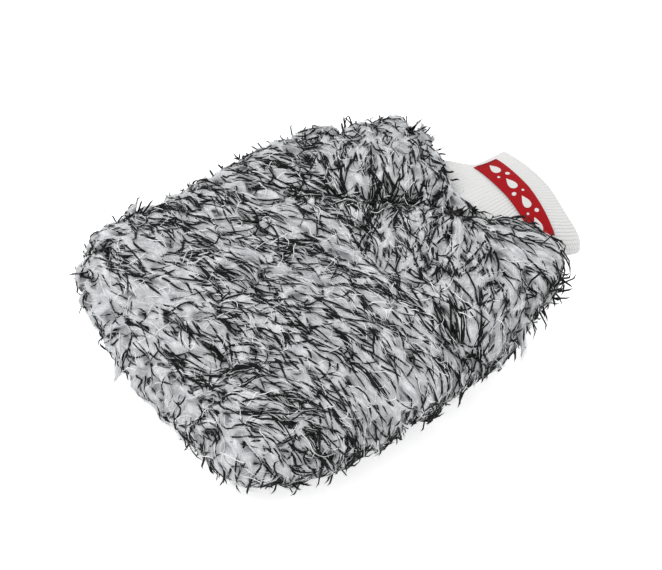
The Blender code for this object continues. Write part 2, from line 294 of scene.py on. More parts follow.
class Nodes:
    """Short calls that add and join shader nodes. A kind is a node's type without ShaderNode."""

    def __init__(self, made):
        self.tree = made.node_tree
        self.shader = self.tree.nodes["Principled BSDF"]

    def add(self, kind, settings=None, **inputs):
        node = self.tree.nodes.new("ShaderNode" + kind)
        for key, value in (settings or {}).items():
            setattr(node, key, value)
        for key, value in inputs.items():
            self.put(node, key.replace("_", " "), value)
        return node

    def put(self, node, key, value):
        """Sets or links an input. A key such as n0 is an input's number."""
        socket = node.inputs[int(key[1:])] if key[0] == "n" and key[1:].isdigit() else node.inputs[key]
        if isinstance(value, bpy.types.NodeSocket):
            self.tree.links.new(value, socket)
        else:
            socket.default_value = value

    def place(self):
        return self.add("TexCoord").outputs["Object"]

    def math(self, operation, first, second):
        return self.add("Math", {"operation": operation}, n0=first, n1=second).outputs[0]

    def half_and_half(self, first, second):
        return self.math("ADD", self.math("MULTIPLY", first, 0.5), self.math("MULTIPLY", second, 0.5))

    def ramp(self, value, *stops):
        node = self.add("ValToRGB", Fac=value)
        elements = node.color_ramp.elements
        while len(elements) < len(stops):
            elements.new(0.5)
        for element, (place, colour) in zip(elements, stops, strict=True):
            element.position = place
            element.color = (*colour, 1.0)
        return node.outputs["Color"]

    def finish(self, colour, height, strength, distance, invert=False):
        """Puts the colour and a bump on the shader."""
        self.put(self.shader, "Base Color", colour)
        bump = self.add("Bump", Height=height, Strength=strength, Distance=distance)
        bump.invert = invert
        self.put(self.shader, "Normal", bump.outputs["Normal"])


def grey(level, tint=0.0):
    """A grey with a slight cool tint."""
    return (level * (1.0 - tint), level * (1.0 - tint / 3), level * (1.0 + tint / 2))


def plush_material():
    """Pale microfibre: soft streaks along the way the pile is combed, and random patches of painted
    highlight and painted shade.
    """
    made = material("plush_pale", grey(0.6, 0.02), 0.95)
    nodes = Nodes(made)
    place = nodes.place()
    bent = nodes.add("TexNoise", Vector=place, Scale=60.0, Detail=1.0).outputs["Color"]
    shift = nodes.add("VectorMath", {"operation": "SCALE"}, Vector=bent, Scale=0.012).outputs[0]
    moved = nodes.add("VectorMath", {"operation": "ADD"}, n0=place, n1=shift).outputs[0]
    stretched = nodes.add("Mapping", Vector=moved, Scale=(1900.0, 330.0, 1900.0)).outputs[0]
    streaks = nodes.add("TexNoise", Vector=stretched, Scale=1.0, Detail=3.0, Roughness=0.6)
    # Random patches whose light and dark parts are painted highlight and painted shade between the tufts
    highlight_and_shade_patches = nodes.add("TexNoise", Vector=place, Scale=150.0, Detail=2.0)
    blend = nodes.half_and_half(streaks.outputs["Fac"], highlight_and_shade_patches.outputs["Fac"])
    stops = ((0.38, grey(0.38, 0.03)), (0.50, grey(0.57, 0.025)), (0.62, grey(0.74, 0.02)))
    nodes.finish(nodes.ramp(blend, *stops), streaks.outputs["Fac"], 0.5, 0.0006)
    return made


def rib_material():
    """Off-white rib knit: rows of stitches with a little fuzz."""
    made = material("rib_knit_white", (0.68, 0.68, 0.675), 0.9, Specular_IOR_Level=0.2)
    nodes = Nodes(made)
    place = nodes.place()
    fuzz = nodes.add("TexNoise", Vector=place, Scale=900.0, Detail=3.0)
    along = {"bands_direction": "X"}
    rows = nodes.add("TexWave", along, Vector=place, Scale=260.0, Distortion=1.2, Detail=2.0)
    height = nodes.half_and_half(fuzz.outputs["Fac"], rows.outputs["Fac"])
    colour = nodes.ramp(height, (0.2, (0.60, 0.60, 0.595)), (0.7, (0.68, 0.68, 0.675)))
    nodes.finish(colour, height, 0.5, 0.0004)
    return made


def label_material():
    """Woven red cloth, almost matte, with fine weft and warp lines."""
    made = material("label_red", (0.42, 0.006, 0.010), 0.75, Specular_IOR_Level=0.12)
    nodes = Nodes(made)
    place = nodes.place()
    weft = nodes.add("TexWave", {"bands_direction": "X"}, Vector=place, Scale=900.0, Distortion=0.6)
    warp = nodes.add("TexWave", {"bands_direction": "Y"}, Vector=place, Scale=700.0, Distortion=0.6)
    weave = nodes.math("MULTIPLY", weft.outputs["Fac"], warp.outputs["Fac"])
    colour = nodes.ramp(weave, (0.0, (0.25, 0.003, 0.006)), (0.6, (0.42, 0.005, 0.010)))
    nodes.finish(colour, weave, 0.4, 0.0002)
    return made


def woven_material(name, dark, light, scale):
    """Plain woven or knitted cloth, or stitched thread."""
    made = material(name, light, 0.85)
    nodes = Nodes(made)
    cells = nodes.add("TexVoronoi", Vector=nodes.place(), Scale=scale).outputs["Distance"]
    nodes.finish(nodes.ramp(cells, (0.0, light), (0.7, dark)), cells, 0.5, 0.0003, invert=True)
    return made


TUFT_TONES = (
    material("tuft_pale", grey(0.80, 0.02), 0.9),
    material("tuft_light", grey(0.65, 0.025), 0.9),
    material("tuft_mid", grey(0.49, 0.03), 0.9),
)
BLACK_TONES = (
    material("fibre_black", grey(0.003, 0.05), 0.6, Specular_IOR_Level=0.18),
    material("fibre_charcoal", grey(0.009, 0.05), 0.7, Specular_IOR_Level=0.22),
)
WHITE_TONES = (material("fibre_white", grey(0.92, 0.01), 0.4),)


# ---------------------------------------------------------------- meshes and numbers

def mesh_object(name, vertices, faces, materials, tones=None):
    """A smooth object from arrays. Faces have four corners, or three and then a -1."""
    mesh = bpy.data.meshes.new(name)
    corners = faces.ravel()
    counts = (faces >= 0).sum(axis=1)
    corners = corners[corners >= 0]
    starts = np.concatenate([[0], np.cumsum(counts)[:-1]])
    mesh.vertices.add(len(vertices))
    mesh.vertices.foreach_set("co", np.ascontiguousarray(vertices, np.float32).ravel())
    mesh.loops.add(len(corners))
    mesh.loops.foreach_set("vertex_index", corners.astype(np.int32))
    mesh.polygons.add(len(faces))
    mesh.polygons.foreach_set("loop_start", starts.astype(np.int32))
    if tones is not None:
        mesh.polygons.foreach_set("material_index", tones.astype(np.int32))
    for entry in materials:
        mesh.materials.append(entry)
    mesh.update(calc_edges=True)
    mesh.validate()
    mesh.shade_smooth()
    return linked(name, mesh)


def linked(name, data):
    """A new object in the scene, for a mesh, a light or a camera."""
    made = bpy.data.objects.new(name, data)
    bpy.context.scene.collection.objects.link(made)
    return made


def with_modifiers(piece):
    """A copy of a piece's mesh, as its modifiers leave it."""
    return bpy.data.meshes.new_from_object(piece.evaluated_get(bpy.context.evaluated_depsgraph_get()))


def voxel_remesh(piece, size):
    remesh = piece.modifiers.new("remesh", "REMESH")
    remesh.mode = "VOXEL"
    remesh.voxel_size = size
    return remesh


def mesh_arrays(mesh):
    """A quad mesh's points, normals and faces."""
    points, normals = np.empty((2, len(mesh.vertices), 3), np.float32)
    mesh.vertices.foreach_get("co", points.ravel())
    mesh.vertices.foreach_get("normal", normals.ravel())
    quads = np.empty((len(mesh.polygons), 4), np.int32)
    mesh.loops.foreach_get("vertex_index", quads.ravel())
    return points.astype(float), normals.astype(float), quads.astype(int)


def surface_of(name):
    """A CAD node's surface, to measure on."""
    mesh = frame["nodes"][name].data
    places = [vertex.co for vertex in mesh.vertices]
    return BVHTree.FromPolygons(places, [tuple(face.vertices) for face in mesh.polygons])


def unit(vectors):
    return vectors / np.maximum(np.linalg.norm(vectors, axis=-1, keepdims=True), 1e-12)


def signed_power(value, power):
    return np.sign(value) * np.abs(value) ** power


def smoothstep(value, low, high):
    share = np.clip((value - low) / (high - low), 0.0, 1.0)
    return share * share * (3.0 - 2.0 * share)


def turn_about(vectors, axes, angles):
    """Each vector turned about its own axis by its own angle."""
    cosine, sine = np.cos(angles)[:, None], np.sin(angles)[:, None]
    dot = (vectors * axes).sum(axis=1, keepdims=True)
    return vectors * cosine + np.cross(axes, vectors) * sine + axes * dot * (1 - cosine)


def swirl(places, scale, offset):
    """A smooth random value from -1 to 1 for each place."""
    return np.array([noise.noise(Vector(place) * scale + Vector((offset, 0, 0))) for place in places])


# ---------------------------------------------------------------- the pile's backing

def puff(half, lift_angle, around):
    """A point of the mitt's puffed outline for a lift and a turn about its centre."""
    power = 2.0 / EDGE_SQUARENESS
    reach = signed_power(math.cos(lift_angle), power)
    rise = signed_power(math.sin(lift_angle), power)
    along = signed_power(math.cos(around), 2.0 / PLAN_SQUARENESS)
    across = signed_power(math.sin(around), 2.0 / PLAN_SQUARENESS)
    x = pile_centre.x + half[0] * reach * along
    share = (x - pile_centre.x) / half[0]
    y = pile_centre.y + half[1] * reach * across * (1.0 - TAPER * share) + LEAN * share
    return Vector((x, y, seam_z + half[2] * rise))


def blown_up(rough):
    """Runs a short cloth simulation on the pouch: air puffs it up, and its slack settles in folds."""
    start = np.array([vertex.co for vertex in rough.data.vertices])
    held = rough.vertex_groups.new(name="held")
    for index, place in enumerate(start):
        by_cuff = smoothstep(place[0], wrist.x - FREE_BEFORE_WRIST, wrist.x + HELD_PAST_WRIST)
        by_floor = smoothstep(-place[2], -FREE_HEIGHT, -HELD_HEIGHT)
        held.add([index], float(max(by_cuff, by_floor)), "REPLACE")
    cloth = rough.modifiers.new("cloth", "CLOTH")
    cloth.settings.quality = 6
    cloth.settings.mass = 0.25
    cloth.settings.tension_stiffness = 12.0
    cloth.settings.compression_stiffness = 6.0
    cloth.settings.bending_stiffness = 0.15
    cloth.settings.use_pressure = True
    cloth.settings.uniform_pressure_force = CLOTH_PRESSURE
    cloth.settings.shrink_min = -CLOTH_SLACK
    cloth.settings.vertex_group_mass = "held"
    cloth.settings.effector_weights.gravity = 0.0
    cloth.point_cache.frame_end = CLOTH_FRAMES
    for frame_number in range(1, CLOTH_FRAMES + 1):
        bpy.context.scene.frame_set(frame_number)
    settled = with_modifiers(rough)
    rough.modifiers.remove(cloth)
    moves = np.array([vertex.co for vertex in settled.vertices]) - start
    length = np.linalg.norm(moves, axis=1, keepdims=True)
    moves *= CLOTH_CAP * np.tanh(length / CLOTH_CAP) / np.maximum(length, 1e-9)
    rough.data.vertices.foreach_set("co", (start + moves).astype(np.float32).ravel())
    bpy.data.meshes.remove(settled)
    bpy.context.scene.frame_set(1)


def pile_bed():
    """The backing the tufts stand on, puffed, slack and folded. Returns its points, normals and faces."""
    half = (pile_half.x - RIM_DEPTH + LENGTH_SLACK, pile_half.y - RIM_DEPTH + WIDTH_SLACK,
            pile_high.z - seam_z - TOP_DEPTH)
    bm = bmesh.new()
    bmesh.ops.create_uvsphere(bm, u_segments=96, v_segments=64, radius=1.0)
    for vertex in bm.verts:
        lift_angle = math.asin(max(-1.0, min(1.0, vertex.co.z)))
        point = puff(half, lift_angle, math.atan2(vertex.co.y, vertex.co.x))
        point.z = max(point.z, LOWEST_BACKING)
        vertex.co = point
    mesh = bpy.data.meshes.new("pile_bed")
    bm.to_mesh(mesh)
    bm.free()
    rough = linked("pile_bed_rough", mesh)
    remesh = voxel_remesh(rough, CLOTH_VOXEL)
    rough.data = with_modifiers(rough)
    rough.modifiers.remove(remesh)
    blown_up(rough)
    rough.modifiers.new("finer", "SUBSURF").levels = 1
    even = with_modifiers(rough)
    bpy.data.objects.remove(rough)
    points, normals, quads = mesh_arrays(even)
    bpy.data.meshes.remove(even)
    lumps = np.array([lump(Vector(point)) for point in points])
    upward = smoothstep(normals[:, 2], -0.6, 0.1)
    lumpy = points + normals * np.where(lumps < 0, lumps, lumps * upward)[:, None]
    lumpy[:, 2] -= CREASE_DEPTH * np.array([creased(point) for point in points])
    return kept_above_cuff(lumpy, points), unit(normals), quads


def creased(point):
    """How deep in the crease a point lies, from 0 outside it to 1 in its deepest part."""
    if point[2] < seam_z:
        return 0.0
    flat = Vector((point[0], point[1], 0.0))
    along = CREASE_END - CREASE_START
    share = max(0.0, min(1.0, (flat - CREASE_START).dot(along) / along.length_squared))
    away = (flat - CREASE_START - along * share).length
    depth = CREASE_SHALLOW + (1.0 - CREASE_SHALLOW) * min(1.0, share * 2.0)
    return depth * math.exp(-((away / CREASE_WIDTH) ** 2))


def lump(point):
    """How far slack cloth and tufts swell or sink at a point of the backing."""
    height = 0.0
    for fineness, offset, rise in LUMPS:
        height += rise * noise.noise(point * fineness + offset)
    for centre, reach, rise in SWELLINGS:
        height += rise * math.exp(-((point - centre).length / reach) ** 2)
    return height


def across_cuff(points):
    """How far across the cuff's tube each point is: 0 in its middle, 1 at its edges and beyond."""
    half_width = np.interp(points[..., 0], ring_x, ring_widths)
    half_width += root_flare(points[..., 0]) * (points[..., 1] > 0)
    return np.minimum(np.abs(points[..., 1]) / half_width, 1.0)


def tube_height(points, margin=0.0):
    """How high the cuff's tube stands above the seam's height over each point, less a margin."""
    half_height = np.interp(points[..., 0], ring_x, ring_heights) - margin
    return half_height * (1.0 - across_cuff(points) ** CUFF_SQUARENESS) ** (1.0 / CUFF_SQUARENESS)


def in_cuff(points, margin=0.0):
    """Which points are in the cuff's tube, at least a margin below its top and bottom."""
    in_section = np.abs(points[..., 2] - seam_z) < tube_height(points, margin)
    return in_section & (points[..., 0] > cuff_low.x - CUFF_TUCK)


def kept_above_cuff(points, before):
    """Points that were above the cuff's tube, lifted back onto it where a fold has pushed them into it."""
    half_height = np.interp(points[:, 0], ring_x, ring_heights)
    near = smoothstep(points[:, 0], cuff_low.x - HELD_UP_START, cuff_low.x - HELD_UP_END)
    was_above = before[:, 2] > seam_z + half_height
    points[:, 2] = np.maximum(points[:, 2], np.where(was_above, seam_z + tube_height(points) * near, 0.0))
    return points


def soft_shells(name, points, quads, cloth):
    """A surface as two shells, one for each side of the parting, open at the neck. Returns the first."""
    middle = points[quads[:, 0]]
    neck = in_cuff(middle, NECK_MARGIN)
    shells = []
    for side in FOLDS:
        faces = quads[on_side(middle, side) & ~neck]
        used, renumbered = np.unique(faces, return_inverse=True)
        shells.append(mesh_object(f"{name}_{side}", points[used], renumbered.reshape(-1, 4), [cloth]))
        bends_with_fold(shells[-1])
    return shells[0]


def pocket_lining(bed):
    """The smooth bag inside the mitt, just under the backing, seen through the cuff's mouth."""
    points, normals, quads = bed
    cloth = woven_material("lining_tricot", (0.55, 0.55, 0.53), (0.80, 0.80, 0.78), 1100.0)
    bag = soft_shells("pocket_lining", points - normals * LINING_DEPTH, quads[:, ::-1], cloth)
    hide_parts(*(name for name in frame["nodes"] if "lining" in name))


def on_side(places, side):
    """Which places are on a side of the parting."""
    return (places[:, 0] < parting_x) == (side == "fingers")


def bends_with_fold(piece):
    """Bakes a piece of the pile's placement into its mesh."""
    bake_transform(piece)


# ---------------------------------------------------------------- strands

def scatter(points, normals, quads, spacing, name):
    """Roots at least a spacing apart, spread evenly over the backing. Returns their places and normals."""
    random = rng(name)
    triangles = np.concatenate([quads[:, [0, 1, 2]], quads[:, [0, 2, 3]]])
    a, b, c = (points[triangles[:, corner]] for corner in range(3))
    area = np.linalg.norm(np.cross(b - a, c - a), axis=1) / 2
    tries = int(area.sum() / spacing**2 * 3.0)
    chosen = random.choice(len(triangles), tries, p=area / area.sum())
    u, v = random.random((2, tries))
    flip = u + v > 1
    u[flip], v[flip] = 1 - u[flip], 1 - v[flip]
    weights = np.stack([1 - u - v, u, v], axis=1)[:, :, None]
    places = (points[triangles[chosen]] * weights).sum(axis=1)
    lifts = unit((normals[triangles[chosen]] * weights).sum(axis=1))
    tree = kdtree.KDTree(tries)
    for index, place in enumerate(places):
        tree.insert(place, index)
    tree.balance()
    dropped = np.zeros(tries, bool)
    for index, place in enumerate(places):
        if dropped[index]:
            continue
        for _, other, _ in tree.find_range(place, spacing):
            if other > index:
                dropped[other] = True
    return places[~dropped], lifts[~dropped]


def rim_share(normals):
    """0 where the mitt's surface faces up or down, 1 round its rim."""
    return smoothstep(-np.abs(normals[:, 2]), *RIM_FACING)


def facing_cuff(normals):
    """0 where the mitt's surface faces away from the cuff's end, 1 where it faces that way."""
    return smoothstep(normals[:, 0], *SIDE_FACING)


def combed(places, normals, random, stray):
    """The way the pile lies at each root: swept across the mitt on top, outwards and down at the rim."""
    towards_fingers = smoothstep(-places[:, 0], *SWEEP_CHANGES)
    angle = np.radians(SWEEP_AT_CUFF + (SWEEP_AT_FINGERS - SWEEP_AT_CUFF) * towards_fingers)
    swept = np.stack([np.cos(angle), np.sin(angle), np.zeros(len(places))], axis=1)
    outward = unit(normals * [1.0, 1.0, 0.0])
    rim = rim_share(normals)[:, None]
    facing = facing_cuff(normals)
    far_side = smoothstep(normals[:, 1], *SIDE_FACING)
    fall = np.zeros_like(normals)
    fall[:, 2] = RIM_FALL + FAR_RIM_RISE * np.maximum(far_side, CUFF_RIM_RISE * facing)
    lie = swept * (1 - rim) + (outward * RIM_OUTWARDS + swept * RIM_SWEEP + fall) * rim
    near_side = (smoothstep(-normals[:, 1], *NEAR_FACING) * (1.0 - facing))[:, None]
    lie = lie + NEAR_RIM_LEAN * near_side * rim
    neck = smoothstep(places[:, 0], wrist.x - NECK_REACH, wrist.x)
    neck *= smoothstep(-np.abs(places[:, 1]), -NECK_EDGE, -NECK_MIDDLE)
    neck *= FAR_NECK_SHARE + (1.0 - FAR_NECK_SHARE) * smoothstep(-places[:, 1], 0.0, NEAR_NECK_Y)
    lie = lie + NECK_LEAN * neck[:, None]
    lie = lie - normals * (lie * normals).sum(axis=1, keepdims=True)
    wander = swirl(places, *BROAD_SWIRL) * BROAD_WANDER
    wander += swirl(places, *FINE_SWIRL) * (FINE_WANDER + RIM_WANDER * rim[:, 0])
    loose = stray * (1.0 + RIM_STRAY * rim[:, 0])
    return turn_about(unit(lie), normals, wander + random.normal(0.0, 1.0, len(places)) * loose)


def laid_over(surface, places, ways, lengths, bend, wave, steps, random):
    """Walks over a surface from each place, turning on the way. Returns each walk's points and normals."""
    count = len(places)
    phase = random.random(count) * 2 * math.pi
    turns = random.uniform(0.5, 1.3, count)
    path = np.empty((count, steps + 1, 3))
    lifts = np.empty((count, steps + 1, 3))
    for index in range(count):
        place, way = Vector(places[index]), Vector(ways[index])
        stride = lengths[index] / steps
        for step in range(steps + 1):
            nearest, normal, _, _ = surface.find_nearest(place)
            path[index, step] = nearest
            lifts[index, step] = normal
            swing = math.cos(phase[index] + 2 * math.pi * turns[index] * (step / steps))
            way = (way - normal * way.dot(normal)).normalized()
            way.rotate(Quaternion(normal, bend[index] / steps + wave[index] * swing))
            place = nearest + way * stride
    blur = (lifts[:, :-1] + lifts[:, 1:]) / 2
    lifts[:, 1:-1] = (blur[:, :-1] + blur[:, 1:]) / 2
    return path, unit(lifts)


def raised(path, lifts, heights):
    """Paths lifted off the surface, and kept above the floor."""
    moved = path + lifts * heights[:, :, None]
    moved[:, :, 2] = np.clip(moved[:, :, 2], FLOOR_CLEARANCE, HIGHEST)
    return moved


def clear_of_cuff(path, *others):
    """Leaves out the strands that run into the cuff's tube. Returns what is left of each array."""
    clear = ~in_cuff(path).any(axis=1)
    return [array[clear] for array in (path, *others)]


def sides_and_ups(path, normals):
    """Tangent, side and up vectors at each point of each path."""
    tangents = unit(np.gradient(path, axis=1))
    sides = unit(np.cross(tangents, normals))
    return tangents, sides, np.cross(sides, tangents)


def tubes(path, normals, radii, flatness, corners):
    """Tubes round the paths, closed to a point at the tip. Returns points and faces."""
    count, rings, _ = path.shape
    _, sides, ups = sides_and_ups(path, normals)
    angles = np.arange(corners) * 2 * math.pi / corners
    around = sides[:, :, None, :] * np.cos(angles)[:, None]
    around = around + ups[:, :, None, :] * (np.sin(angles) * flatness)[:, None]
    body = path[:, :-1, None, :] + around[:, :-1] * radii[:, :-1, None, None]
    points = np.concatenate([body.reshape(count, -1, 3), path[:, -1:]], axis=1)
    points[:, :, 2] = np.maximum(points[:, :, 2], PRESSED_HEIGHT)
    last, tip = (rings - 2) * corners, points.shape[1] - 1
    edges = [(corner, (corner + 1) % corners) for corner in range(corners)]
    faces = [[ring + corner, ring + after, ring + corners + after, ring + corners + corner]
             for ring in range(0, last, corners) for corner, after in edges]
    faces += [[last + corner, last + after, tip, -1] for corner, after in edges]
    return points, np.array(faces)


def ribbons(path, normals, width, twist):
    """Flat tapering ribbons along the paths. Returns points and faces."""
    count, rings, _ = path.shape
    _, sides, ups = sides_and_ups(path, normals)
    across = sides * np.cos(twist)[:, None, None] + ups * np.sin(twist)[:, None, None]
    share = np.linspace(0.0, 1.0, rings)[:-1]
    half = (width[:, None] / 2 * (1.0 - FIBRE_TAPER * share))[:, :, None]
    left = path[:, :-1] - across[:, :-1] * half
    right = path[:, :-1] + across[:, :-1] * half
    edges = np.stack([left, right], axis=2).reshape(count, -1, 3)
    points = np.concatenate([edges, path[:, -1:]], axis=1)
    last = 2 * (rings - 2)
    faces = [[ring, ring + 1, ring + 3, ring + 2] for ring in range(0, last, 2)]
    faces.append([last, last + 1, last + 2, -1])
    return points, np.array(faces)


def joined(points, faces, tones):
    """One mesh's arrays from many copies of the same faces over different points."""
    count, per_copy, _ = points.shape
    shift = (np.arange(count) * per_copy)[:, None, None]
    every = np.where(faces[None] >= 0, faces[None] + shift, -1).reshape(-1, 4)
    return points.reshape(-1, 3), every, np.repeat(tones, len(faces))


def add_pile(name, roots, points, faces, tones, materials):
    """Makes pieces of pile from strands, parted like the shells and each kept to a size the tools read."""
    for side in FOLDS:
        mine = np.flatnonzero(on_side(roots, side))
        chunks = max(1, math.ceil(len(mine) * len(faces) / MOST_FACES))
        for index, chunk in enumerate(np.array_split(mine, chunks)):
            vertices, corners, face_tones = joined(points[chunk], faces, tones[chunk])
            piece = mesh_object(f"{name}_{side}_{index + 1}", vertices, corners, materials, face_tones)
            bends_with_fold(piece)


def fluff_over(bed, tuft_points, tuft_faces):
    """One soft surface over the backing and all the tufts, melted together. Returns its points and faces."""
    points = np.concatenate([bed[0], tuft_points])
    faces = np.concatenate([bed[2], np.where(tuft_faces >= 0, tuft_faces + len(bed[0]), -1)])
    rough = mesh_object("fluff_rough", points, faces, [])
    voxel_remesh(rough, FLUFF_VOXEL)
    rough.modifiers.new("soften", "SMOOTH").iterations = FLUFF_SMOOTHING
    soft = with_modifiers(rough)
    bpy.data.objects.remove(rough)
    points, _, quads = mesh_arrays(soft)
    bpy.data.meshes.remove(soft)
    return points, quads


def grow_tufts(bed, backing):
    """Soft tufts, melted into the plush, with loose fibres on them. Returns the plush's surface."""
    random = rng("tufts")
    roots, normals = scatter(*bed, TUFT_SPACING, "tuft roots")
    count = len(roots)
    lies = combed(roots, normals, random, TUFT_STRAY)
    rim = rim_share(normals)
    lengths = TUFT_LENGTH * random.uniform(0.7, 1.2, count) * (1.0 - RIM_SHORTER * rim)
    bend = random.normal(0.0, TUFT_BEND, count) * (1.0 + 1.2 * rim)
    bend = np.clip(bend, -TUFT_MOST_BEND, TUFT_MOST_BEND)
    wave = np.full(count, TUFT_WAVE)
    path, lifts = laid_over(backing, roots, lies, lengths, bend, wave, TUFT_STEPS, random)
    share = np.linspace(0.0, 1.0, TUFT_STEPS + 1)
    # Each tuft arches over from its root, is fullest near its middle and ends in a point
    arch = np.sin(math.pi * (0.08 + 0.62 * share))[None]
    rise = TUFT_HEIGHT * random.uniform(0.7, 1.3, (count, 1)) * arch
    stand = random.exponential(TUFT_STAND, (count, 1)) * (0.3 + 1.2 * rim[:, None]) * share[None] ** 2
    path = raised(path, lifts, rise + stand - TUFT_SINK)
    path, lifts, roots = clear_of_cuff(path, lifts, roots)
    girth = TUFT_RADIUS * random.uniform(0.75, 1.25, len(roots))
    profile = (0.60 + 0.40 * smoothstep(share, 0.0, 0.35)) * (1.0 - share**2.2)
    radii = girth[:, None] * profile[None]
    points, faces = tubes(path, lifts, radii, TUFT_FLATNESS, TUFT_CORNERS)
    fluff = fluff_over(bed, *joined(points, faces, np.zeros(len(roots)))[:2])
    plush = soft_shells("plush", *fluff, plush_material())
    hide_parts(*PALM_NODES, *KNUCKLE_NODES, *FINGER_NODES)
    grow_loose_fibres(path, lifts, roots, radii, random)
    return BVHTree.FromPolygons(fluff[0].tolist(), fluff[1].tolist())


def grow_loose_fibres(path, lifts, roots, radii, random):
    """Fine pale fibres along each tuft, just off its sides."""
    share = np.linspace(0.0, 1.0, TUFT_STEPS + 1)
    owner = np.repeat(np.arange(len(roots)), FIBRES_PER_TUFT)
    total = len(owner)
    tangents, sides, ups = sides_and_ups(path, lifts)
    angle = random.uniform(-0.1, 1.1, total) * math.pi
    veil = np.where(random.random((total, 1)) < RAISED_FIBRES, RAISED_FIBRE_LIFT, FIBRE_LIFT)
    reach = radii[owner] * random.uniform(0.96, 1.06, (total, 1)) + veil
    stray = random.normal(0.0, FIBRE_STRAY, (total, 2))[:, :, None] * (share**2)[None, None]
    side_shift = reach * np.cos(angle)[:, None] + stray[:, 0]
    up_shift = reach * np.sin(angle)[:, None] * TUFT_FLATNESS + stray[:, 1]
    slip = share * random.normal(0.0, FIBRE_SLIP, (total, 1))
    fibres = path[owner] + sides[owner] * side_shift[:, :, None] + ups[owner] * up_shift[:, :, None]
    fibres = fibres + tangents[owner] * slip[:, :, None]
    fibres[:, :, 2] = np.maximum(fibres[:, :, 2], FLOOR_CLEARANCE)
    width = FIBRE_WIDTH * random.uniform(0.6, 1.3, total)
    twist = angle + math.pi / 2 + random.normal(0.0, 0.25, total)
    points, faces = ribbons(fibres, lifts[owner], width, twist)
    tones = random.choice(len(TUFT_TONES), total)
    add_pile("plush_fibres", roots[owner], points, faces, tones, TUFT_TONES)


def resting(path, lifts, surface, offsets):
    """Lays paths on top of the tufts: each point goes to the tufts' surface plus its own offset."""
    heights = np.empty(path.shape[:2])
    for index in np.ndindex(heights.shape):
        place, lift = Vector(path[index]), Vector(lifts[index])
        hit, _, _, _ = surface.ray_cast(place + lift * TUFT_REACH, -lift, TUFT_REACH)
        heights[index] = (hit - place).dot(lift) if hit else TUFT_HEIGHT
    for _ in range(2):
        padded = np.pad(heights, ((0, 0), (1, 1)), mode="edge")
        heights = (padded[:, :-2] + 2 * heights + padded[:, 2:]) / 4
    return raised(path, lifts, np.maximum(heights + offsets, LOWEST_STRAND))


def grow_black_fibres(bed, backing, tufts):
    """Coarse black fibres that lie over the tufts, in wedges drawn together at the tip or in bundles."""
    random = rng("black fibres")
    centres, centre_normals = scatter(*bed, BLACK_SPACING, "black clumps")
    sizes = random.choice(CLUMP_SIZES, len(centres), p=CLUMP_SHARES)
    # Clumps in the crease get more fibres: partly the crease's denser strands, partly dark fibre as painted
    # shade in the crease
    sizes += np.array([round(CREASE_CLUMP_AND_SHADE_EXTRA * creased(centre)) for centre in centres])
    sizes = np.round(sizes * (CLUMP_GROWTH + CLUSTERING * swirl(centres, *CLUMP_SWIRL))).astype(int)
    owner = np.repeat(np.arange(len(centres)), sizes)
    total = len(owner)
    normals = centre_normals[owner]
    rim = rim_share(normals)
    lies = combed(centres, centre_normals, random, BLACK_STRAY)[owner]
    lengths = random.uniform(*BLACK_LENGTHS, total) * (1.0 - RIM_SHORTER * rim)
    wedge = random.random(len(centres))[owner] < 0.5
    in_wedge, in_bundle = (random.normal(0.0, spread, total) for spread in (WEDGE_SPREAD, BUNDLE_SPREAD))
    aside = np.where(wedge, in_wedge, in_bundle)
    turn = np.where(wedge, -aside / lengths, random.normal(0.0, BUNDLE_TURN, total))
    ahead = random.normal(0.0, CLUMP_LENGTH, (total, 1))
    roots = centres[owner] + np.cross(normals, lies) * aside[:, None] + lies * ahead
    lies = turn_about(lies, normals, turn)
    curly = random.random(total) < CURLY_SHARE + RIM_CURLY_SHARE * rim
    bend = random.normal(0.0, 1.0, total) * np.where(curly, CURLY_BEND, STRAIGHT_BEND)
    wave = random.normal(0.0, BLACK_WAVE, total)
    path, lifts = laid_over(backing, roots, lies, lengths, bend, wave, BLACK_STEPS, random)
    share = np.linspace(0.0, 1.0, BLACK_STEPS + 1)
    level = np.clip(random.normal(BLACK_LEVEL, LEVEL_SPREAD, (total, 1)), *LEVEL_LIMITS)
    root_dip = -BLACK_ROOT_DIP * (1.0 - smoothstep(share, 0.0, 0.22))[None]
    tip_rise = random.normal(TIP_LEVEL, TIP_SPREAD, (total, 1))
    by_cuff = smoothstep(roots[:, 0], wrist.x - LOOSE_START, wrist.x - LOOSE_FULL)
    loose = TIP_LIFT + RIM_TIP_LIFT * np.maximum(rim, by_cuff)
    loose += CUFF_RIM_TIP_LIFT * rim * facing_cuff(normals)
    tip_rise += np.minimum(random.exponential(1.0, (total, 1)), 2.5) * loose[:, None]
    path = resting(path, lifts, tufts, level + root_dip + tip_rise * smoothstep(share, 0.5, 1.0)[None])
    path, lifts, roots = clear_of_cuff(path, lifts, roots)
    count = len(roots)
    radii = BLACK_RADIUS * random.uniform(0.7, 1.2, (count, 1)) * (1.0 - 0.35 * share**2)[None]
    points, faces = tubes(path, lifts, radii, 1.0, BLACK_CORNERS)
    tones = random.choice(2, count, p=[1.0 - CHARCOAL_SHARE, CHARCOAL_SHARE])
    add_pile("black_fibres", roots, points, faces, tones, BLACK_TONES)


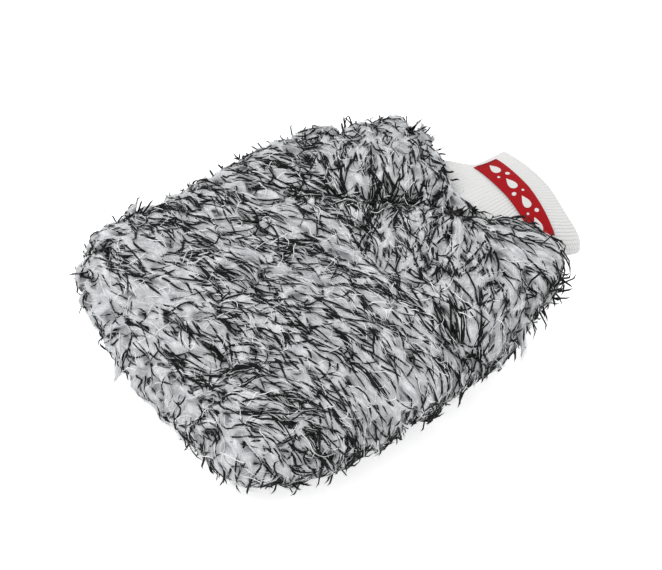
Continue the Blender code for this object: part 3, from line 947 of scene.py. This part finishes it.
def grow_white_fibres(bed, backing, tufts):
    """A few bright, curly white fibres that lie loosely over the rest."""
    random = rng("white fibres")
    roots, normals = scatter(*bed, WHITE_SPACING, "white roots")
    total = len(roots)
    lies = combed(roots, normals, random, WHITE_STRAY)
    lengths = random.uniform(*WHITE_LENGTHS, total)
    bend = random.normal(0.0, 1.0, total)
    wave = random.normal(0.0, WHITE_WAVE, total)
    path, lifts = laid_over(backing, roots, lies, lengths, bend, wave, WHITE_STEPS, random)
    share = np.linspace(0.0, 1.0, WHITE_STEPS + 1)
    level = np.clip(random.normal(WHITE_LEVEL, WHITE_LEVEL_SPREAD, (total, 1)), *WHITE_LEVEL_LIMITS)
    root_dip = -WHITE_ROOT_DIP * (1.0 - smoothstep(share, 0.0, 0.2))[None]
    tip_rise = random.exponential(WHITE_TIP_LIFT, (total, 1))
    path = resting(path, lifts, tufts, level + root_dip + tip_rise * smoothstep(share, 0.4, 1.0)[None])
    path, lifts, roots = clear_of_cuff(path, lifts, roots)
    count = len(roots)
    radii = WHITE_RADIUS * random.uniform(0.7, 1.3, (count, 1)) * (1.0 - 0.4 * share)[None]
    points, faces = tubes(path, lifts, radii, 1.0, WHITE_CORNERS)
    add_pile("white_fibres", roots, points, faces, np.zeros(count, int), WHITE_TONES)


# ---------------------------------------------------------------- cuff

def cuff_ring(x):
    """Half width and half height of the cuff's outside at x, measured on the CAD cuff."""
    half = []
    for way in (Vector((0, 1, 0)), Vector((0, 0, 1))):
        start = Vector((x, 0.0, seam_z)) + way * FAR_OFF + Vector((0, 0, PARTING_GAP)) * (1 - way.z)
        hits = [tree.ray_cast(start, -way)[0] for tree in cuff_trees]
        distances = [(hit - Vector((x, 0.0, seam_z))).dot(way) for hit in hits if hit is not None]
        half.append(max(distances))
    return half


def drawn_back(x, across):
    """How far the cuff is drawn back at x. across is -1 at its near edge and 1 at its far edge."""
    return CORNER_DRAW * smoothstep(x, cuff_low.x, DRAW_FULL_X) * np.maximum(0.0, -across) ** DRAW_POWER


def root_flare(x):
    """How much wider the cuff is at x on its far side, where the palm takes hold of it."""
    return ROOT_FLARE * (1.0 - smoothstep(x, ROOT_FLARE_START, ROOT_FLARE_END))


def cuff_surface(x, angle, depth=0.0):
    """A point of the cuff at a depth below its outside."""
    half_width, half_height = (np.interp(x, ring_x, ring) for ring in (ring_widths, ring_heights))
    across = signed_power(np.cos(angle), 2.0 / CUFF_SQUARENESS)
    rise = signed_power(np.sin(angle), 2.0 / CUFF_SQUARENESS)
    flare = root_flare(x) * np.maximum(0.0, across) ** 2
    shift = MOUTH_SHIFT * smoothstep(x, MOUTH_SHIFT_START, MOUTH_SHIFT_END)
    y = (half_width - depth) * across + flare - shift
    return Vector((x - drawn_back(x, across), y, seam_z + (half_height - depth) * rise))


def running_length(points):
    """How far along a line of points each of them is."""
    return np.concatenate([[0], np.cumsum(np.linalg.norm(np.diff(points, axis=0), axis=1))])


def rib_cuff():
    """The folded rib-knit tube. Its ribs run along the mitt, and its mouth is a soft fold."""
    last_x = ring_x[-1]
    ring = [cuff_surface(last_x, angle) for angle in np.linspace(0, 2 * math.pi, GIRTH_SAMPLES)]
    around = round(running_length(ring)[-1] / RIB_PITCH) * len(RIB_PROFILE)
    root_x, turn_x = cuff_low.x - CUFF_TUCK, cuff_high.x - CUFF_SHORT - CUFF_FOLD / 2
    outer = [(x, 0.0) for x in np.linspace(root_x, turn_x, OUTER_ROWS)]
    fold = [(turn_x + CUFF_FOLD / 2 * math.sin(a), CUFF_FOLD / 2 * (1 - math.cos(a)))
            for a in np.linspace(0, math.pi, FOLD_ROWS)[1:-1]]
    inner = [(x, CUFF_FOLD) for x in np.linspace(turn_x, root_x, INNER_ROWS)]
    path = outer + fold + inner
    dense = np.linspace(0, 2 * math.pi, RUN_SAMPLES)
    run = running_length([cuff_surface(last_x, angle) for angle in dense])
    even = np.interp(np.linspace(0, run[-1], around, endpoint=False), run, dense)
    points = []
    # The grooves between the ribs go into the cloth from both of its sides
    for x, depth in path:
        inwards = 1.0 if depth < CUFF_FOLD / 2 else -1.0
        wavy = MOUTH_WAVE * smoothstep(x, ring_x[-4], last_x)
        for index, angle in enumerate(even):
            groove = RIB_HEIGHT * RIB_PROFILE[index % len(RIB_PROFILE)]
            point = cuff_surface(min(x, last_x), angle, depth + groove * inwards)
            point.x += x - min(x, last_x) + wavy * math.sin(MOUTH_WAVES * angle + 1.0)
            points.append(point)
    grid = np.arange(len(points)).reshape(len(path), around)
    after = np.roll(grid, -1, axis=1)
    faces = np.stack([grid[:-1], grid[1:], after[1:], after[:-1]], axis=-1).reshape(-1, 4)
    piece = mesh_object("rib_cuff", np.array(points), faces, [rib_material()])
    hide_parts(*CUFF_NODES)
    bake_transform(piece)


# ---------------------------------------------------------------- label and CAD pieces

def motif_outline(kind, turn):
    """How far along and across the label a motif's outline is from its centre, for a turn in radians."""
    if kind == "bubble":
        return math.cos(turn), math.sin(turn)
    return math.cos(turn), 0.72 * math.sin(turn) * math.sin(turn / 2) ** 1.3


def label_motifs():
    """Raised white satin-stitch drops and bubbles along the label."""
    tree = surface_of("cuff_label")
    low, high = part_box("cuff_label")
    label = frame["nodes"]["cuff_label"].data
    far_end = [vertex.co.x for vertex in label.vertices if vertex.co.y > high.y - LABEL_END]
    middle_x = (min(far_end) + max(far_end)) / 2
    bm = bmesh.new()
    for kind, share, shift, size in MOTIFS:
        centre_y = low.y + (high.y - low.y) * share
        loops = []
        for ring in range(MOTIF_RINGS + 1):
            scale = ring / MOTIF_RINGS
            lift = MOTIF_HEIGHT if ring < MOTIF_RINGS else MOTIF_EDGE_HEIGHT
            loop = []
            for step in range(MOTIF_TURNS):
                along, across = motif_outline(kind, 2 * math.pi * step / MOTIF_TURNS)
                y = centre_y + size * along * scale
                x = middle_x + shift + size * across * scale
                x -= drawn_back(x, y / np.interp(x, ring_x, ring_widths))
                hit, normal, _, _ = tree.ray_cast(Vector((x, y, FAR_OFF)), Vector((0, 0, -1)))
                loop.append(bm.verts.new(hit + normal * lift))
            loops.append(loop)
        for inner, outer in zip(loops[:-1], loops[1:], strict=True):
            for step in range(MOTIF_TURNS):
                after = (step + 1) % MOTIF_TURNS
                bm.faces.new((inner[step], outer[step], outer[after], inner[after]))
    bmesh.ops.remove_doubles(bm, verts=bm.verts, dist=1e-6)
    bmesh.ops.recalc_face_normals(bm, faces=bm.faces)
    mesh = bpy.data.meshes.new("label_motifs")
    bm.to_mesh(mesh)
    bm.free()
    mesh.shade_smooth()
    mesh.materials.append(woven_material("motif_white", (0.56, 0.56, 0.55), (0.74, 0.74, 0.73), 2600.0))
    piece = linked("label_motifs", mesh)
    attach(piece, "cuff_upper")


def dress_cad_pieces():
    """Gives each CAD piece that stays its own cloth or thread."""
    looks = {
        "seam": woven_material("seam_thread_white", (0.55, 0.55, 0.54), (0.82, 0.82, 0.81), 1600.0),
        "elastic": woven_material("elastic_woven", (0.60, 0.60, 0.58), (0.82, 0.82, 0.80), 1300.0),
        "stitches": woven_material("label_thread_red", (0.20, 0.006, 0.01), (0.42, 0.012, 0.018), 2400.0),
        "cuff_label": label_material(),
    }
    for name, node in frame["nodes"].items():
        for word, look in looks.items():
            if word in name:
                for slot in node.material_slots:
                    slot.material = look


# ---------------------------------------------------------------- studio

def soft_box(name, place, size, power):
    """A square area light that faces the mitt."""
    light = bpy.data.lights.new(name, "AREA")
    light.shape = "SQUARE"
    light.size = size
    light.energy = power
    made = linked(name, light)
    made.location = place
    made.rotation_euler = (-Vector(place)).to_track_quat("-Z", "Y").to_euler()


def studio():
    """A plain pale floor that glows faintly, soft light from all round, and the camera."""
    bpy.ops.mesh.primitive_plane_add(size=8.0, location=(0, 0, -0.0002))
    floor = bpy.context.object
    floor.name = "floor"
    glow = {"Emission_Color": (1.0, 1.0, 1.0, 1.0), "Emission_Strength": 0.5}
    floor.data.materials.append(material("floor_white", (0.93, 0.93, 0.93), 0.9, **glow))

    world = bpy.data.worlds.new("studio")
    world.use_nodes = True
    tree = world.node_tree
    background = tree.nodes["Background"]
    background.inputs["Color"].default_value = (1.0, 1.0, 1.0, 1.0)
    # Brighter to the camera, so that the horizon is as white as the floor
    strength = tree.nodes.new("ShaderNodeMapRange")
    strength.inputs["To Min"].default_value = 0.90
    strength.inputs["To Max"].default_value = 1.05
    tree.links.new(tree.nodes.new("ShaderNodeLightPath").outputs["Is Camera Ray"], strength.inputs["Value"])
    tree.links.new(strength.outputs["Result"], background.inputs["Strength"])
    bpy.context.scene.world = world
    soft_box("key", (-0.5, 0.5, 1.2), 1.3, 10.0)
    soft_box("fill", (0.8, -1.0, 0.9), 1.0, 3.0)

    azimuth, elevation = math.radians(CAMERA_AZIMUTH), math.radians(CAMERA_ELEVATION)
    back = Vector((math.sin(azimuth) * math.cos(elevation), -math.cos(azimuth) * math.cos(elevation),
                   math.sin(elevation)))
    camera = linked("camera", bpy.data.cameras.new("camera"))
    camera.data.lens = CAMERA_LENS
    camera.data.sensor_width = 36.0
    camera.location = CAMERA_TARGET + back * CAMERA_DISTANCE
    camera.rotation_euler = back.to_track_quat("Z", "Y").to_euler()
    bpy.context.scene.camera = camera
    bpy.context.scene.view_settings.view_transform = "Standard"


# ---------------------------------------------------------------- build

cuff_low, cuff_high = box_of(CUFF_NODES)
cuff_trees = [surface_of(node) for node in CUFF_NODES]
ring_x = np.linspace(cuff_low.x + RING_INSET, cuff_high.x - RING_END_INSET, RING_COUNT)
ring_widths, ring_heights = np.array([cuff_ring(x) for x in ring_x]).T

bed = pile_bed()
backing = BVHTree.FromPolygons(bed[0].tolist(), bed[2].tolist())
pocket_lining(bed)
tufts = grow_tufts(bed, backing)
grow_black_fibres(bed, backing, tufts)
grow_white_fibres(bed, backing, tufts)

rib_cuff()
label_motifs()
dress_cad_pieces()
studio()
